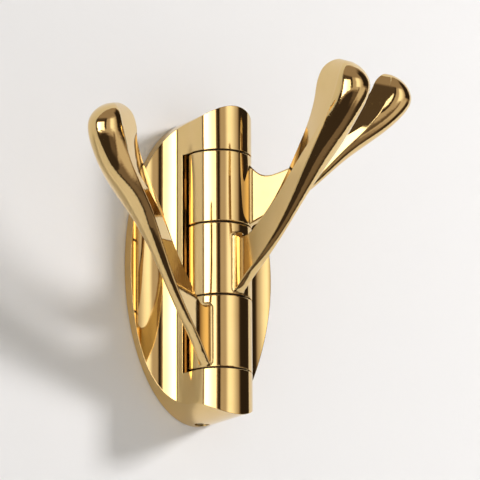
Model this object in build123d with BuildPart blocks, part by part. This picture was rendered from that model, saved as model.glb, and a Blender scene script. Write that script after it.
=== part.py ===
from build123d import *
from math import cos, radians, sin, sqrt
from typing import NamedTuple
import os

# Triple swivel coat hook, in millimetres, in its own frame.
# The wall is the plane Y = 0 and the hook stands out towards -Y, with Z up.
# The origin is the centre of the back face.

# Base casting: an oval back whose concave flanks run up to an upright barrel
base_width = 44.6
barrel_end_height = 12.3
rim_thickness = 3.4
barrel_radius = 8.85
barrel_standoff = 12.4

# Window in the barrel that the three knuckles turn in
knuckle_height = 19.6
washer_thickness = 0.4
washer_radius = 7.6
window_side_gap = 1.2
window_back_gap = 0.5

# Pivot pin, entered from the top and blind in the lower barrel end
pin_radius = 3.0
pin_running_clearance = 0.05
pin_top_recess = 0.5
pin_blind_depth = 8.0
pin_chamfer = 0.4

# Wall plate, let into the back of the casting
plate_width = 16.0
plate_thickness = 1.8
plate_corner_radius = 3.0
plate_clearance = 0.15
lug_width = 10.0
lug_height = 4.5
lug_depth = 5.6
lug_wall = 1.3
wall_screw_spacing = 44.0
wall_screw_hole_radius = 2.2
wall_screw_sink_radius = 3.0
wall_screw_sink_angle = 90

# Grub screw that locks the casting on the plate from below
grub_radius = 2.0
grub_length = 6.0
grub_standoff = 3.4
grub_hole_clearance = 0.05
grub_socket_across_flats = 2.0
grub_socket_depth = 2.2
grub_chamfer = 0.35

# Knuckles, and the fillet where an arm's web grows out of one
knuckle_edge_radius = 0.25
web_fillet_radius = 1.2
on_knuckle_within = 0.02

# Arms: where the web leaves the knuckle, and the dome that ends the head
keel_root_drop = 9.2
web_root_inset = 4.0
arm_edge_radius = 0.5
side_taper = 0.12  # share of the narrowing that comes before the bevel
head_onset = 3  # power of the place along the keel by which the head's sizes set in
dome_height = 6.2
dome_steps = (0.42, 0.70, 0.88, 0.97)


class ArmShape(NamedTuple):
    """What differs between the arms: they get shorter upwards, so that they nest."""

    direction: float  # degrees round the pin from +X
    reach: float  # from the pin's axis to where the dome begins
    rise: float  # from the knuckle's centre up to there
    keel_sag: float  # how far the keel hangs below a straight line
    root_slope: float  # slope of the keel at the knuckle, in degrees
    tip_slope: float  # and at the dome
    head_width: float  # size of the head against the sections below
    head_bulge: float
    head_depth: float


arms = {
    "bottom": ArmShape(-147.0, 67.4, 41.6, 0.7, 43.0, 74.0, 1.0, 1.0, 1.04),
    "middle": ArmShape(-86.0, 58.9, 36.2, 3.8, 34.0, 67.0, 1.0, 1.1, 1.0),
    "top": ArmShape(-42.0, 47.4, 24.3, 4.1, 30.0, 72.0, 0.90, 1.2, 0.50),
}

# Sections of an arm from the knuckle to the head. In order: place along the keel,
# turn from upright to square with the keel, depth from keel to crest, half width
# at the keel, half width of the crest, depth of the bevels and bulge of the outer face
sections = (
    (0.00, 0.00, 16.2, 1.5, 1.15, 0.4, 0.30),
    (0.07, 0.00, 11.8, 1.5, 1.15, 0.4, 0.30),
    (0.18, 0.15, 9.6, 1.5, 1.15, 0.4, 0.35),
    (0.34, 0.60, 7.8, 1.6, 1.20, 0.6, 0.50),
    (0.50, 1.00, 7.3, 2.2, 1.30, 1.8, 0.80),
    (0.64, 1.00, 7.9, 3.3, 1.70, 4.2, 1.20),
    (0.78, 1.00, 8.9, 4.3, 2.40, 6.9, 2.00),
    (0.90, 1.00, 10.0, 4.7, 3.10, 9.0, 3.40),
    (1.00, 1.00, 10.4, 4.7, 3.40, 9.7, 4.60),
)

# Sizes worked out from those above
knuckle_pitch = knuckle_height + washer_thickness
window_height = len(arms) * knuckle_pitch + washer_thickness
base_height = window_height + 2 * barrel_end_height
plate_height = window_height + 2 * (lug_wall + lug_height)
flank_run = base_width / 2 - barrel_radius
flank_rise = barrel_standoff - rim_thickness
flank_radius = (flank_run**2 + flank_rise**2) / (2 * flank_run)
window_radius = barrel_radius + window_side_gap
window_floor = barrel_standoff - barrel_radius - window_back_gap
pin_bore_radius = pin_radius + pin_running_clearance
pin_top = base_height / 2 - pin_top_recess
pin_bottom = -window_height / 2 - pin_blind_depth
lug_centre = plate_height / 2 - lug_height / 2
lug_base = plate_height / 2
knuckle_centres = [(i - (len(arms) - 1) / 2) * knuckle_pitch for i in range(len(arms))]

os.makedirs("parts", exist_ok=True)


def keep(piece: Part, name: str) -> None:
    """Labels one finished piece and writes its STEP file."""
    piece.label = name
    export_step(piece, f"parts/{name}.step")


def on_knuckle(edge: Edge) -> bool:
    """Whether an edge is where the web meets the knuckle's round side."""
    spots = [edge.position_at(share) for share in (0, 0.5, 1)]
    spans = [Vector(spot.X, spot.Y + barrel_standoff).length for spot in spots]
    near = all(abs(span - barrel_radius) < on_knuckle_within for span in spans)
    return near and edge.geom_type == GeomType.BSPLINE


def arm_plane(direction: float, reach: float, height: float, inward: Vector) -> Plane:
    """Plane square to an arm's keel: X across the arm, Y from the keel to the crest."""
    along = Vector(cos(radians(direction)), sin(radians(direction)), 0)
    across = Vector(-along.Y, along.X, 0)
    upward = along * inward.X + Vector(0, 0, 1) * inward.Y
    origin = along * reach + Vector(0, -barrel_standoff, height)
    return Plane(origin=origin, x_dir=across, z_dir=across.cross(upward))


def arm_section(plane: Plane, depth: float, keel: float, crest: float, bevel: float,
                bulge: float, edge: float) -> Sketch:
    """One section of an arm: bulged outer face, flat sides, bevels and a flat crest."""
    shoulder = keel - (keel - crest) * side_taper
    with BuildSketch(plane) as section:
        with BuildLine():
            Polyline(
                (keel, 0),
                (shoulder, depth - bevel),
                (crest, depth),
                (-crest, depth),
                (-shoulder, depth - bevel),
                (-keel, 0),
            )
            ThreePointArc((-keel, 0), (0, -bulge), (keel, 0))
        make_face()
        fillet(section.vertices().group_by(Axis.Y)[0], edge)
    return section.sketch


def arm_sections(shape: ArmShape, knuckle_centre: float) -> list:
    """All sections of one arm, from inside the knuckle to the end of the dome."""
    start = Vector(barrel_radius, -keel_root_drop)
    end = Vector(shape.reach, shape.rise)
    third = (end - start) * (1 / 3)
    drop = Vector(0, -shape.keel_sag)
    keel = Edge.make_spline(
        [start, start + third + drop, start + third * 2 + drop, end],
        tangents=[
            Vector(cos(radians(shape.root_slope)), sin(radians(shape.root_slope))),
            Vector(cos(radians(shape.tip_slope)), sin(radians(shape.tip_slope))),
        ],
    )
    made = []
    for place, turn, depth, half_keel, half_crest, bevel, bulge in sections:
        head = place**head_onset
        deeper = 1 + (shape.head_depth - 1) * head
        wider = 1 + (shape.head_width - 1) * head
        rounder = 1 + (shape.head_bulge - 1) * head
        size = (depth * deeper, half_keel * wider, half_crest * wider, bevel * deeper,
                bulge * rounder)
        point = keel.position_at(place)
        tangent = keel.tangent_at(place)
        square = Vector(-tangent.Y, tangent.X)
        inward = (Vector(0, 1) * (1 - turn) + square * turn).normalized()
        if not made:
            inset = point.X - web_root_inset
            plane = arm_plane(shape.direction, inset, knuckle_centre + point.Y, inward)
            made.append(arm_section(plane, *size, arm_edge_radius))
        plane = arm_plane(shape.direction, point.X, knuckle_centre + point.Y, inward)
        made.append(arm_section(plane, *size, arm_edge_radius))
    middle = point + inward * (size[0] / 2)
    for step in dome_steps:
        narrowed = sqrt(1 - step**2)
        spot = middle + tangent * (dome_height * step) - inward * (size[0] / 2 * narrowed)
        plane = arm_plane(shape.direction, spot.X, knuckle_centre + spot.Y, inward)
        shrunk = [value * narrowed for value in size]
        made.append(arm_section(plane, *shrunk, arm_edge_radius * narrowed))
    return made


# Base casting
with BuildPart() as base:
    with BuildSketch(Plane.XY.offset(-base_height / 2)):
        with BuildLine():
            flank_end = Vector(base_width / 2, -rim_thickness)
            flank_start = Vector(barrel_radius, -barrel_standoff)
            flank_centre = flank_start + Vector(flank_radius, 0)
            toward_middle = ((flank_start + flank_end) * 0.5 - flank_centre).normalized()
            flank_middle = flank_centre + toward_middle * flank_radius
            Line((0, 0), (base_width / 2, 0))
            Line((base_width / 2, 0), flank_end)
            ThreePointArc(flank_end, flank_middle, flank_start)
            barrel_front = (0, -barrel_standoff - barrel_radius)
            barrel_side = Vector(-1, -1).normalized() * barrel_radius
            barrel_quarter = Vector(-barrel_side.X, barrel_side.Y - barrel_standoff)
            ThreePointArc(flank_start, barrel_quarter, barrel_front)
            mirror(about=Plane.YZ)
        make_face()
    extrude(amount=base_height)
    with BuildSketch(Plane.XZ):
        Ellipse(base_width / 2, base_height / 2)
    extrude(amount=barrel_standoff + 2 * barrel_radius, both=True, mode=Mode.INTERSECT)
    # Window for the knuckles, with a flat floor near the wall
    with BuildSketch(Plane.XY.offset(-window_height / 2)):
        with Locations((0, -barrel_standoff)):
            Circle(window_radius)
        with Locations((0, -window_floor)):
            Rectangle(2 * window_radius, 2 * window_radius, align=(Align.CENTER, Align.MAX),
                      mode=Mode.INTERSECT)
    extrude(amount=window_height, mode=Mode.SUBTRACT)
    # Seat of the pivot pin, open at the top
    with BuildSketch(Plane.XY.offset(pin_bottom)):
        with Locations((0, -barrel_standoff)):
            Circle(pin_radius)
    extrude(amount=base_height, mode=Mode.SUBTRACT)
    # Pocket for the wall plate and its two lugs
    with BuildSketch(Plane.XZ):
        RectangleRounded(
            plate_width + 2 * plate_clearance,
            plate_height + 2 * plate_clearance,
            plate_corner_radius + plate_clearance,
        )
    extrude(amount=plate_thickness + plate_clearance, mode=Mode.SUBTRACT)
    with BuildSketch(Plane.XZ):
        with Locations((0, lug_centre), (0, -lug_centre)):
            Rectangle(lug_width + 2 * plate_clearance, lug_height + 2 * plate_clearance)
    extrude(amount=lug_depth + plate_clearance, mode=Mode.SUBTRACT)
    # Tapped hole of the grub screw, up from the bottom face into the lower lug's pocket
    with BuildSketch(Plane.XY.offset(-lug_base)):
        with Locations((0, -grub_standoff)):
            Circle(grub_radius + grub_hole_clearance)
    extrude(amount=-base_height, mode=Mode.SUBTRACT)
keep(base.part, "base_casting")

# Wall plate
with BuildPart() as plate:
    with BuildSketch(Plane.XZ):
        RectangleRounded(plate_width, plate_height, plate_corner_radius)
    extrude(amount=plate_thickness)
    with BuildSketch(Plane.XZ):
        with Locations((0, lug_centre), (0, -lug_centre)):
            Rectangle(lug_width, lug_height)
    extrude(amount=lug_depth)
    with Locations(Plane.XZ.offset(plate_thickness)):
        with Locations((0, wall_screw_spacing / 2), (0, -wall_screw_spacing / 2)):
            CounterSinkHole(
                wall_screw_hole_radius,
                wall_screw_sink_radius,
                counter_sink_angle=wall_screw_sink_angle,
            )
keep(plate.part, "wall_plate")

# Grub screw, its tip against the lower lug
with BuildPart() as grub:
    with BuildSketch(Plane.XY.offset(-lug_base)):
        with Locations((0, -grub_standoff)):
            Circle(grub_radius)
    extrude(amount=-grub_length)
    chamfer(grub.edges().filter_by(GeomType.CIRCLE), grub_chamfer)
    with BuildSketch(Plane.XY.offset(-lug_base - grub_length)):
        with Locations((0, -grub_standoff)):
            RegularPolygon(grub_socket_across_flats / 2, 6, major_radius=False)
    extrude(amount=grub_socket_depth, mode=Mode.SUBTRACT)
keep(grub.part, "grub_screw")

# Pivot pin
with BuildPart() as pin:
    with BuildSketch(Plane.XY.offset(pin_bottom)):
        with Locations((0, -barrel_standoff)):
            Circle(pin_radius)
    extrude(amount=pin_top - pin_bottom)
    chamfer(pin.edges().filter_by(GeomType.CIRCLE), pin_chamfer)
keep(pin.part, "pivot_pin")

# Friction washers, one under each knuckle and one on the top one
for i in range(len(arms) + 1):
    with BuildPart() as washer:
        with BuildSketch(Plane.XY.offset(-window_height / 2 + i * knuckle_pitch)):
            with Locations((0, -barrel_standoff)):
                Circle(washer_radius)
                Circle(pin_bore_radius, mode=Mode.SUBTRACT)
        extrude(amount=washer_thickness)
    keep(washer.part, f"friction_washer_{i + 1}")

# Knuckle and arm, one casting each
for (name, shape), centre in zip(arms.items(), knuckle_centres):
    with BuildPart() as arm:
        with BuildSketch(Plane.XY.offset(centre - knuckle_height / 2)):
            with Locations((0, -barrel_standoff)):
                Circle(barrel_radius)
        extrude(amount=knuckle_height)
        fillet(arm.edges().filter_by(GeomType.CIRCLE), knuckle_edge_radius)
        loft(sections=arm_sections(shape, centre))
        split(bisect_by=Plane.XY.offset(centre - knuckle_height / 2))
        fillet(arm.edges().filter_by(on_knuckle), web_fillet_radius)
        with BuildSketch(Plane.XY.offset(centre - knuckle_height / 2)):
            with Locations((0, -barrel_standoff)):
                Circle(pin_bore_radius)
        extrude(amount=knuckle_height, mode=Mode.SUBTRACT)
    keep(arm.part, f"{name}_arm")
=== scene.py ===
import logging
from dataclasses import dataclass
from enum import Enum
from math import cos, pi, radians, sin

import bmesh
import bpy
from mathutils import Matrix, Vector


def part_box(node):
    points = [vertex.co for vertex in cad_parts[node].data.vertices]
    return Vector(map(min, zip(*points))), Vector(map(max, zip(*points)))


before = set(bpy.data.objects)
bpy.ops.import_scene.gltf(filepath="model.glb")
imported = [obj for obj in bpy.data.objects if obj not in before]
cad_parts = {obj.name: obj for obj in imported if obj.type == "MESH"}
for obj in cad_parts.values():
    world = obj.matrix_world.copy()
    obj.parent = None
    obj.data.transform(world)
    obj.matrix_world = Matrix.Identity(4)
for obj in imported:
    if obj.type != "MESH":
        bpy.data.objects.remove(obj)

# Looks of the triple swivel coat hook: its finishes, the wall it hangs on, light and camera.
# Everything is in metres in the frame's own axes: the wall is Y = 0 and the room is at -Y.

MILLIMETRE = 0.001

# The sRGB curve: a straight line up to its knee, and a power above it
SRGB_KNEE = 0.04045
SRGB_SLOPE = 12.92
SRGB_OFFSET = 0.055
SRGB_POWER = 2.4

log = logging.getLogger("coat_hook")


class Slot(Enum):
    """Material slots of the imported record."""

    GOLD = "gold"
    STEEL = "steel"
    DARK_STEEL = "dark_steel"
    NYLON = "nylon"


def linear(hex_colour: str) -> tuple[float, float, float, float]:
    """Turns an sRGB hex colour into the linear colour that Blender's nodes take.

    Args:
        hex_colour: Colour such as "#C9A15A".

    Returns:
        Linear red, green and blue, and 1 for the alpha.
    """
    shown = [int(hex_colour[start:start + 2], 16) / 255 for start in (1, 3, 5)]
    red, green, blue = (
        level / SRGB_SLOPE if level <= SRGB_KNEE
        else ((level + SRGB_OFFSET) / (1 + SRGB_OFFSET)) ** SRGB_POWER
        for level in shown)
    return red, green, blue, 1.0


def direction(azimuth: float, elevation: float) -> Vector:
    """Unit vector from the hook towards a direction of view.

    Args:
        azimuth: Degrees round the hook, 0 straight out from the wall and 90 to its right.
        elevation: Degrees above level.

    Returns:
        The vector.
    """
    around = radians(azimuth)
    raised = radians(elevation)
    return Vector((sin(around) * cos(raised), -cos(around) * cos(raised), sin(raised)))


def empty_tree(owner: bpy.types.Material | bpy.types.World) -> bpy.types.NodeTree:
    """Gives a material or a world a node tree with nothing in it.

    Args:
        owner: The material or world.

    Returns:
        The tree.
    """
    owner.use_nodes = True
    owner.node_tree.nodes.clear()
    return owner.node_tree


def add_node(tree: bpy.types.NodeTree, kind: str, inputs: dict | None = None,
             **settings: object) -> bpy.types.Node:
    """Adds a node with its settings, input values and incoming links.

    Args:
        tree: Node tree to add to.
        kind: Node type name, such as "ShaderNodeBump".
        inputs: Value, or output socket to link from, for each input by name or index.
        settings: Properties of the node itself.

    Returns:
        The new node.
    """
    node = tree.nodes.new(kind)
    for name, value in settings.items():
        setattr(node, name, value)
    for name, value in (inputs or {}).items():
        if isinstance(value, bpy.types.NodeSocket):
            tree.links.new(value, node.inputs[name])
        else:
            node.inputs[name].default_value = value
    return node


@dataclass(frozen=True)
class Finish:
    """A metal or plastic surface with uneven roughness and a fine relief.

    Attributes:
        name: Plain name of the real finish.
        colour: Main colour.
        worn_colour: Colour of the thinner or dirtier patches.
        metallic: 1 for metal, 0 for plastic.
        roughness: Roughness of the cleanest places.
        roughness_spread: How much rougher the dullest places are.
        patch_mm: Width of the patches.
        relief_mm: Width of one bump of the relief.
        relief_height_mm: Height of the relief.
        edge_radius_mm: Shaded radius of sharp edges, 0 for none.
        stretch: How far the relief is drawn out along Z, 1 for none.
        patch_detail: Finer levels within the patches.
        patch_unevenness: How strong those levels are.
        relief_detail: Finer levels within the relief.
        clean_below: Noise value up to which a place is at its cleanest.
        dull_above: Noise value from which it is at its dullest.
        edge_samples: Samples for the shaded edges.
    """

    name: str
    colour: str
    worn_colour: str
    metallic: float
    roughness: float
    roughness_spread: float
    patch_mm: float
    relief_mm: float
    relief_height_mm: float
    edge_radius_mm: float = 0.0
    stretch: float = 1.0
    patch_detail: float = 3.0
    patch_unevenness: float = 0.55
    relief_detail: float = 2.0
    clean_below: float = 0.35
    dull_above: float = 0.75
    edge_samples: int = 4

    def material(self) -> bpy.types.Material:
        """Builds the node material.

        Returns:
            The material, named for the finish.
        """
        made = bpy.data.materials.new(self.name)
        tree = empty_tree(made)
        place = add_node(tree, "ShaderNodeTexCoord").outputs["Object"]
        drawn = add_node(tree, "ShaderNodeMapping", {
            "Vector": place, "Scale": (1, 1, 1 / self.stretch)})
        patches = add_node(tree, "ShaderNodeTexNoise", {
            "Vector": place, "Scale": 1 / (self.patch_mm * MILLIMETRE),
            "Detail": self.patch_detail, "Roughness": self.patch_unevenness})
        relief = add_node(tree, "ShaderNodeTexNoise", {
            "Vector": drawn.outputs["Vector"], "Scale": 1 / (self.relief_mm * MILLIMETRE),
            "Detail": self.relief_detail})
        tone = add_node(tree, "ShaderNodeMix", {
            "Factor": patches.outputs["Fac"], "A": linear(self.colour),
            "B": linear(self.worn_colour)}, data_type="RGBA")
        dullness = add_node(tree, "ShaderNodeMapRange", {
            "Value": patches.outputs["Fac"],
            "From Min": self.clean_below, "From Max": self.dull_above,
            "To Min": self.roughness, "To Max": self.roughness + self.roughness_spread})
        raising = {"Height": relief.outputs["Fac"], "Strength": 1.0,
                   "Distance": self.relief_height_mm * MILLIMETRE}
        if self.edge_radius_mm:
            edge = add_node(tree, "ShaderNodeBevel", {
                "Radius": self.edge_radius_mm * MILLIMETRE}, samples=self.edge_samples)
            raising["Normal"] = edge.outputs["Normal"]
        bump = add_node(tree, "ShaderNodeBump", raising)
        surface = add_node(tree, "ShaderNodeBsdfPrincipled", {
            "Base Color": tone.outputs["Result"], "Metallic": self.metallic,
            "Roughness": dullness.outputs["Result"], "Normal": bump.outputs["Normal"]})
        add_node(tree, "ShaderNodeOutputMaterial", {"Surface": surface.outputs["BSDF"]})
        return made


FINISHES = {
    # Zinc alloy, buffed to a mirror and plated in a pale gold: the eye sees the room in it,
    # cream where a window is and brown where the room is dark
    Slot.GOLD: Finish(
        "polished_gold_plate", "#E5C88F", "#DDBE80", metallic=1.0, roughness=0.04,
        roughness_spread=0.05, patch_mm=9.0, relief_mm=4.0, relief_height_mm=0.008,
        edge_radius_mm=0.25),
    # Pressed mild steel with bright zinc: grey with a faint cloudiness
    Slot.STEEL: Finish(
        "zinc_plated_steel", "#C3C5C2", "#A9ABA6", metallic=1.0, roughness=0.30,
        roughness_spread=0.18, patch_mm=5.0, relief_mm=0.8, relief_height_mm=0.004, stretch=6.0),
    # Tempered screw steel under a film of oil: mid grey, bright where its chamfer meets the light
    Slot.DARK_STEEL: Finish(
        "oiled_tempered_steel", "#9B9894", "#6F6C68", metallic=1.0, roughness=0.24,
        roughness_spread=0.14, patch_mm=2.0, relief_mm=0.5, relief_height_mm=0.002),
    # Moulded polyamide: dark and slightly waxy
    Slot.NYLON: Finish(
        "moulded_nylon", "#2B2320", "#1D1816", metallic=0.0, roughness=0.42,
        roughness_spread=0.12, patch_mm=3.0, relief_mm=0.6, relief_height_mm=0.004),
}


@dataclass(frozen=True)
class Paint:
    """Matt paint with a fine grain, which isn't there when it is seen from behind.

    Attributes:
        name: Name of the paint.
        colour: Its colour.
        grain_mm: Width of one grain.
        grain_height_mm: Height of the grain.
        grain_strength: How much of the grain shows.
        grain_detail: Finer levels within the grain.
        roughness: Its roughness.
    """

    name: str
    colour: str
    grain_mm: float
    grain_height_mm: float = 0.1
    grain_strength: float = 0.25
    grain_detail: float = 4.0
    roughness: float = 0.85

    def material(self) -> bpy.types.Material:
        """Builds the node material.

        Returns:
            The material, named for the paint.
        """
        made = bpy.data.materials.new(self.name)
        tree = empty_tree(made)
        place = add_node(tree, "ShaderNodeTexCoord").outputs["Object"]
        grain = add_node(tree, "ShaderNodeTexNoise", {
            "Vector": place, "Scale": 1 / (self.grain_mm * MILLIMETRE),
            "Detail": self.grain_detail})
        bump = add_node(tree, "ShaderNodeBump", {
            "Height": grain.outputs["Fac"], "Strength": self.grain_strength,
            "Distance": self.grain_height_mm * MILLIMETRE})
        surface = add_node(tree, "ShaderNodeBsdfPrincipled", {
            "Base Color": linear(self.colour), "Roughness": self.roughness,
            "Normal": bump.outputs["Normal"]})
        clear = add_node(tree, "ShaderNodeBsdfTransparent")
        behind = add_node(tree, "ShaderNodeNewGeometry").outputs["Backfacing"]
        seen = add_node(tree, "ShaderNodeMixShader", {
            0: behind, 1: surface.outputs["BSDF"], 2: clear.outputs["BSDF"]})
        add_node(tree, "ShaderNodeOutputMaterial", {"Surface": seen.outputs["Shader"]})
        return made


# Matt emulsion, rolled on plaster: nearly white, with a grain that is only just seen
WALL_PAINT = Paint("wall_paint", "#F1F0EE", grain_mm=1.5)
# Matt floor paint: a little warmer and greyer than the wall
FLOOR_PAINT = Paint("floor_paint", "#E9E7E3", grain_mm=2.0)


@dataclass(frozen=True)
class SubAssembly:
    """CAD nodes of one body, dressed in their real finishes.

    Attributes:
        body: Name of the body that they belong to.
    """

    body: str

    def slots(self) -> dict[str, Slot]:
        """Slot of each of its nodes by name."""
        raise NotImplementedError

    def dress(self, materials: dict[Slot, bpy.types.Material]) -> None:
        """Gives every node its finish.

        Args:
            materials: Material for each slot.
        """
        for name, slot in self.slots().items():
            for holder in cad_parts[name].material_slots:
                holder.material = materials[slot]
            log.info("dressed %s on body %s in %s", name, self.body, slot.value)


@dataclass(frozen=True)
class WallBase(SubAssembly):
    """What stays on the wall: casting, wall plate, pin, locking screw and washers.

    Attributes:
        washers: Number of washers on the pin.
    """

    body: str = "base"
    washers: int = 4

    def slots(self) -> dict[str, Slot]:
        """Slot of each of its nodes by name."""
        fixed = {"base_casting": Slot.GOLD, "wall_plate": Slot.STEEL, "pivot_pin": Slot.STEEL,
                 "grub_screw": Slot.DARK_STEEL}
        rings = {f"friction_washer_{place}": Slot.NYLON for place in range(1, self.washers + 1)}
        return fixed | rings


@dataclass(frozen=True)
class SwivelArm(SubAssembly):
    """An arm with its knuckle, one casting on a body of its own."""

    def slots(self) -> dict[str, Slot]:
        """Slot of its one node by name."""
        return {f"{self.body}_arm": Slot.GOLD}


@dataclass(frozen=True)
class Panel:
    """A soft-edged bright or dark patch of the room, as the polished metal mirrors it.

    Attributes:
        left: Its left end in degrees round the hook, 0 at the camera's own side.
        right: Its right end.
        low: Its lower edge in degrees above level.
        high: Its upper edge.
        light: How bright it is.
        blur: Half width of its soft edges in degrees.
        fade: How much softer its right edge is.
    """

    left: float
    right: float
    low: float
    high: float
    light: float
    blur: float = 2.0
    fade: float = 0.0

    def over(self, tree: bpy.types.NodeTree, light: bpy.types.NodeSocket,
             azimuth: bpy.types.NodeSocket,
             elevation: bpy.types.NodeSocket) -> bpy.types.NodeSocket:
        """Lays the patch over what the room has so far.

        Args:
            tree: The world's node tree.
            light: Brightness of the room so far.
            azimuth: Degrees round the hook.
            elevation: Degrees above level.

        Returns:
            Brightness with the patch in it.
        """
        share = None
        edges = ((azimuth, self.left, self.blur), (azimuth, self.right, -self.blur - self.fade),
                 (elevation, self.low, self.blur), (elevation, self.high, -self.blur))
        for angle, place, reach in edges:
            step = add_node(tree, "ShaderNodeMapRange", {
                "Value": angle, "From Min": place - reach, "From Max": place + reach},
                interpolation_type="SMOOTHSTEP")
            share = step.outputs["Result"] if share is None else add_node(
                tree, "ShaderNodeMath", {0: share, 1: step.outputs["Result"]},
                operation="MULTIPLY").outputs[0]
        return add_node(tree, "ShaderNodeMix", {
            "Factor": share, "A": light, "B": self.light}).outputs["Result"]


# The room's patches, each laid over those above it
ROOM_PANELS = (
    # Dark floor with two pale places, and the lit foot of the walls
    Panel(-190, 190, -100, -6, 0.05, blur=5.0),
    Panel(14, 48, -60, -6, 0.16, blur=8.0),
    Panel(52, 96, -62, -4, 0.75, blur=7.0),
    Panel(-52, 44, -30, -8, 0.60, blur=6.0),
    # Lit stretch of wall on the right
    Panel(4, 74, -14, 38, 0.60, blur=3.0),
    Panel(28, 54, -14, 38, 1.60, blur=8.0, fade=10.0),
    # Tall window on the left, under a dim stretch and with a dark post on its right
    Panel(-75, 6, 16, 44, 0.10, blur=5.0),
    Panel(-53, -10, -24, 21, 2.40, blur=1.5),
    Panel(-53, -32, -24, 21, 5.00, blur=1.5, fade=14.0),
    Panel(-5, 4, -18, 40, 0.03),
    # Dark corner on the far right, and a paler place on the floor before it
    Panel(74, 124, 0, 62, 0.03, blur=7.0),
    Panel(60, 124, -100, -50, 0.22, blur=10.0),
    # What lies behind the wall, which the back of the hook mirrors
    Panel(138, 190, -50, 70, 0.70, blur=8.0),
    Panel(-190, -78, -50, 70, 0.70, blur=8.0),
)


@dataclass(frozen=True)
class Room:
    """Light of the world: a room for polished metal to mirror, and plain light for the rest.

    Attributes:
        view_azimuth: Azimuth of the camera in degrees, which the patches are placed around.
        base_light: Brightness where no patch is.
        dark_tint: Warm colour of the room's dark places.
        bright_tint: Colour of its bright places.
        plain_colour: Colour of the plain light.
        ambient: Brightness of the plain light on what isn't polished.
        backdrop: Brightness where the camera sees past the wall.
        panels: Its patches, later ones over earlier ones.
    """

    view_azimuth: float
    base_light: float = 0.38
    dark_tint: str = "#FFDCC4"
    bright_tint: str = "#FFFAF2"
    plain_colour: str = "#FAFAF8"
    ambient: float = 0.33
    backdrop: float = 0.80
    panels: tuple[Panel, ...] = ROOM_PANELS

    def angles(self, tree: bpy.types.NodeTree) -> tuple[bpy.types.NodeSocket, bpy.types.NodeSocket]:
        """Works out which way a ray leaves the scene.

        Args:
            tree: The world's node tree.

        Returns:
            Degrees round the hook, 0 at the camera's own side, and degrees above level.
        """
        way = add_node(tree, "ShaderNodeTexCoord").outputs["Generated"]
        turned = add_node(tree, "ShaderNodeMapping", {
            "Vector": way, "Rotation": (0, 0, radians(-self.view_azimuth))})
        parts = add_node(tree, "ShaderNodeSeparateXYZ", {"Vector": turned.outputs["Vector"]})
        outward = add_node(tree, "ShaderNodeMath", {0: parts.outputs["Y"], 1: -1.0},
                           operation="MULTIPLY").outputs[0]
        around = add_node(tree, "ShaderNodeMath", {0: parts.outputs["X"], 1: outward},
                          operation="ARCTAN2").outputs[0]
        raised = add_node(tree, "ShaderNodeMath", {0: parts.outputs["Z"]},
                          operation="ARCSINE").outputs[0]
        azimuth, elevation = (
            add_node(tree, "ShaderNodeMath", {0: angle}, operation="DEGREES").outputs[0]
            for angle in (around, raised))
        return azimuth, elevation

    def build(self) -> None:
        """Fills the scene's world with the room."""
        world = bpy.data.worlds.new("studio_room")
        bpy.context.scene.world = world
        tree = empty_tree(world)
        azimuth, elevation = self.angles(tree)
        light = add_node(tree, "ShaderNodeValue").outputs[0]
        light.default_value = self.base_light
        for panel in self.panels:
            light = panel.over(tree, light, azimuth, elevation)
        tint = add_node(tree, "ShaderNodeMix", {
            "Factor": light, "A": linear(self.dark_tint), "B": linear(self.bright_tint)},
            data_type="RGBA").outputs["Result"]
        mirrored = add_node(tree, "ShaderNodeBackground", {"Color": tint, "Strength": light})
        plain, empty = (
            add_node(tree, "ShaderNodeBackground", {
                "Color": linear(self.plain_colour), "Strength": strength})
            for strength in (self.ambient, self.backdrop))
        ray = add_node(tree, "ShaderNodeLightPath")
        unmirrored = add_node(tree, "ShaderNodeMixShader", {
            0: ray.outputs["Is Camera Ray"], 1: plain.outputs["Background"],
            2: empty.outputs["Background"]})
        shown = add_node(tree, "ShaderNodeMixShader", {
            0: ray.outputs["Is Glossy Ray"], 1: unmirrored.outputs["Shader"],
            2: mirrored.outputs["Background"]})
        add_node(tree, "ShaderNodeOutputWorld", {"Surface": shown.outputs["Shader"]})
        log.info("filled the world with a room of %d patches", len(self.panels))


@dataclass(frozen=True)
class Lamp:
    """Square soft lamp that lights the wall but isn't mirrored in the hook.

    Attributes:
        name: Name of the lamp.
        azimuth: Its direction in degrees, 0 straight out from the wall.
        elevation: Its height in degrees.
        distance: Distance from the hook.
        size: Side of the square.
        power: Power in watts.
        colour: Colour of its light.
    """

    name: str
    azimuth: float
    elevation: float
    distance: float
    size: float
    power: float
    colour: str = "#FDFCFF"

    def build(self) -> None:
        """Adds the lamp, turned towards the hook."""
        light = bpy.data.lights.new(self.name, "AREA")
        light.shape = "SQUARE"
        light.size = self.size
        light.energy = self.power
        light.color = linear(self.colour)[:3]
        lamp = bpy.data.objects.new(self.name, light)
        away = direction(self.azimuth, self.elevation)
        lamp.location = away * self.distance
        lamp.rotation_euler = away.to_track_quat("Z", "Y").to_euler()
        lamp.visible_glossy = False
        bpy.context.scene.collection.objects.link(lamp)
        log.info("added %s", self.name)


LAMPS = (
    Lamp("key_lamp", azimuth=50.0, elevation=20.0, distance=1.6, size=0.30, power=21.0),
    Lamp("fill_lamp", azimuth=-70.0, elevation=35.0, distance=1.8, size=1.2, power=1.5),
    Lamp("back_lamp", azimuth=190.0, elevation=25.0, distance=1.4, size=0.9, power=9.0),
)


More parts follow.
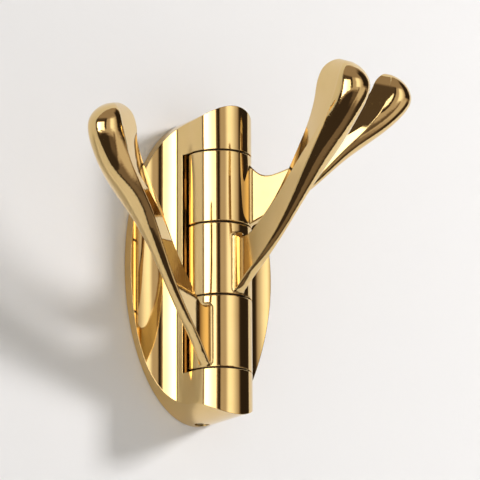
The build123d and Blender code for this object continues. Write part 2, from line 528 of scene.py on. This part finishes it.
@dataclass(frozen=True)
class Stage:
    """Plain pale wall and floor, as flat sheets.

    Attributes:
        wall_width: Width of the round wall, and of the floor.
        wall_gap: How far the wall's face is behind the hook's back.
        mirrored_width: Width of the stretch of wall that the metal mirrors.
        mirrored_gap: How far that stretch is behind the hook's back.
        opening_share: Size of the opening behind the hook against the hook's base.
        rim_points: Corners round each edge of the wall.
        floor_drop: How far the floor is below the hook's centre.
    """

    wall_width: float = 3.0
    wall_gap: float = 0.0002
    mirrored_width: float = 0.9
    mirrored_gap: float = 0.0001
    opening_share: float = 0.985
    rim_points: int = 96
    floor_drop: float = 0.32

    def sheet(self, name: str, shape: bmesh.types.BMesh, material: bpy.types.Material,
              mirrored: bool = False) -> None:
        """Adds one sheet of the stage.

        Args:
            name: Name of the object.
            shape: The sheet, which is used up.
            material: Its paint.
            mirrored: Whether only the polished metal sees it, or only everything else.
        """
        mesh = bpy.data.meshes.new(name)
        shape.to_mesh(mesh)
        shape.free()
        mesh.materials.append(material)
        piece = bpy.data.objects.new(name, mesh)
        bpy.context.scene.collection.objects.link(piece)
        piece.visible_glossy = mirrored
        piece.visible_camera = not mirrored
        piece.visible_diffuse = not mirrored
        piece.visible_shadow = not mirrored
        log.info("added %s", name)

    def wall_shape(self, width: float, gap: float) -> bmesh.types.BMesh:
        """Round stretch of wall, open behind the hook so that the hook's back stays lit.

        Args:
            width: Its width.
            gap: How far it is behind the hook's back.

        Returns:
            The shape, facing the room.
        """
        low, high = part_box("base_casting")
        middle = (Vector(low) + Vector(high)) / 2
        upright = Matrix.Rotation(pi / 2, 4, "X")
        opening = Matrix.Translation((middle.x, gap, middle.z)) @ upright @ Matrix.Diagonal(
            ((high[0] - low[0]) / 2 * self.opening_share,
             (high[2] - low[2]) / 2 * self.opening_share, 1, 1))
        shape = bmesh.new()
        bmesh.ops.create_circle(shape, segments=self.rim_points, radius=width / 2,
                                matrix=Matrix.Translation((0, gap, 0)) @ upright)
        bmesh.ops.create_circle(shape, segments=self.rim_points, radius=1.0, matrix=opening)
        bmesh.ops.bridge_loops(shape, edges=shape.edges[:])
        shape.normal_update()
        bmesh.ops.reverse_faces(shape, faces=[face for face in shape.faces if face.normal.y > 0])
        return shape

    def build(self) -> None:
        """Adds the wall, the stretch of it that the metal mirrors, and the floor."""
        wall = WALL_PAINT.material()
        floor = FLOOR_PAINT.material()
        ground = bmesh.new()
        bmesh.ops.create_grid(
            ground, x_segments=1, y_segments=1, size=self.wall_width / 2,
            matrix=Matrix.Translation((0, -self.wall_width / 2, -self.floor_drop)))
        self.sheet("wall", self.wall_shape(self.wall_width, self.wall_gap), wall)
        self.sheet("wall_in_the_metal", self.wall_shape(self.mirrored_width, self.mirrored_gap),
                   wall, mirrored=True)
        self.sheet("floor", ground, floor)


@dataclass(frozen=True)
class ViewCamera:
    """Camera at the photograph's viewing angle, fitted to its square frame.

    Attributes:
        azimuth: Direction round the hook in degrees, 0 straight out from the wall.
        elevation: Height in degrees.
        roll: Turn of the picture in degrees.
        distance: Distance from the aim point.
        aim: Point that the camera is set around.
        shift_right: How far the aim point is right of the picture's centre.
        shift_up: How far the aim point is above it.
        lens: Focal length in millimetres.
        sensor_width: Width of the sensor in millimetres.
        near_clip: Nearest distance that it shows.
    """

    azimuth: float
    elevation: float
    roll: float
    distance: float
    aim: tuple[float, float, float] = (0, -0.008, 0)
    shift_right: float = -0.00796
    shift_up: float = -0.00765
    lens: float = 262.5
    sensor_width: float = 36.0
    near_clip: float = 0.01

    def build(self) -> None:
        """Adds the camera and makes it the scene's."""
        back = direction(self.azimuth, self.elevation)
        turn = radians(self.azimuth)
        level = Vector((cos(turn), sin(turn), 0))
        upright = back.cross(level)
        roll = radians(self.roll)
        right = level * cos(roll) + upright * sin(roll)
        up = upright * cos(roll) - level * sin(roll)
        data = bpy.data.cameras.new("view_camera")
        data.lens = self.lens
        data.sensor_width = self.sensor_width
        data.clip_start = self.near_clip
        data.dof.use_dof = False
        camera = bpy.data.objects.new("view_camera", data)
        place = (Vector(self.aim) + back * self.distance - right * self.shift_right
                 - up * self.shift_up)
        axes = Matrix((right, up, back)).transposed()
        camera.matrix_world = Matrix.Translation(place) @ axes.to_4x4()
        bpy.context.scene.collection.objects.link(camera)
        bpy.context.scene.camera = camera
        log.info("added the camera")


# Fitted to the base's outline, the barrel's edges and the joint lines in the photograph
VIEW = ViewCamera(azimuth=-32.12, elevation=-13.93, roll=-0.27, distance=0.9488)


def main() -> None:
    """Builds the looks around the frame, piece by piece."""
    logging.basicConfig(level=logging.INFO, format="%(name)s: %(message)s")
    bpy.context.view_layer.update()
    materials = {slot: finish.material() for slot, finish in FINISHES.items()}
    for assembly in (WallBase(), SwivelArm("bottom"), SwivelArm("middle"), SwivelArm("top")):
        assembly.dress(materials)
    VIEW.build()
    # The default transform greys bright gold, and this one leaves it as it is lit
    bpy.context.scene.view_settings.view_transform = "Standard"
    Stage().build()
    Room(view_azimuth=VIEW.azimuth).build()
    for lamp in LAMPS:
        lamp.build()


if __name__ == "__main__":
    main()
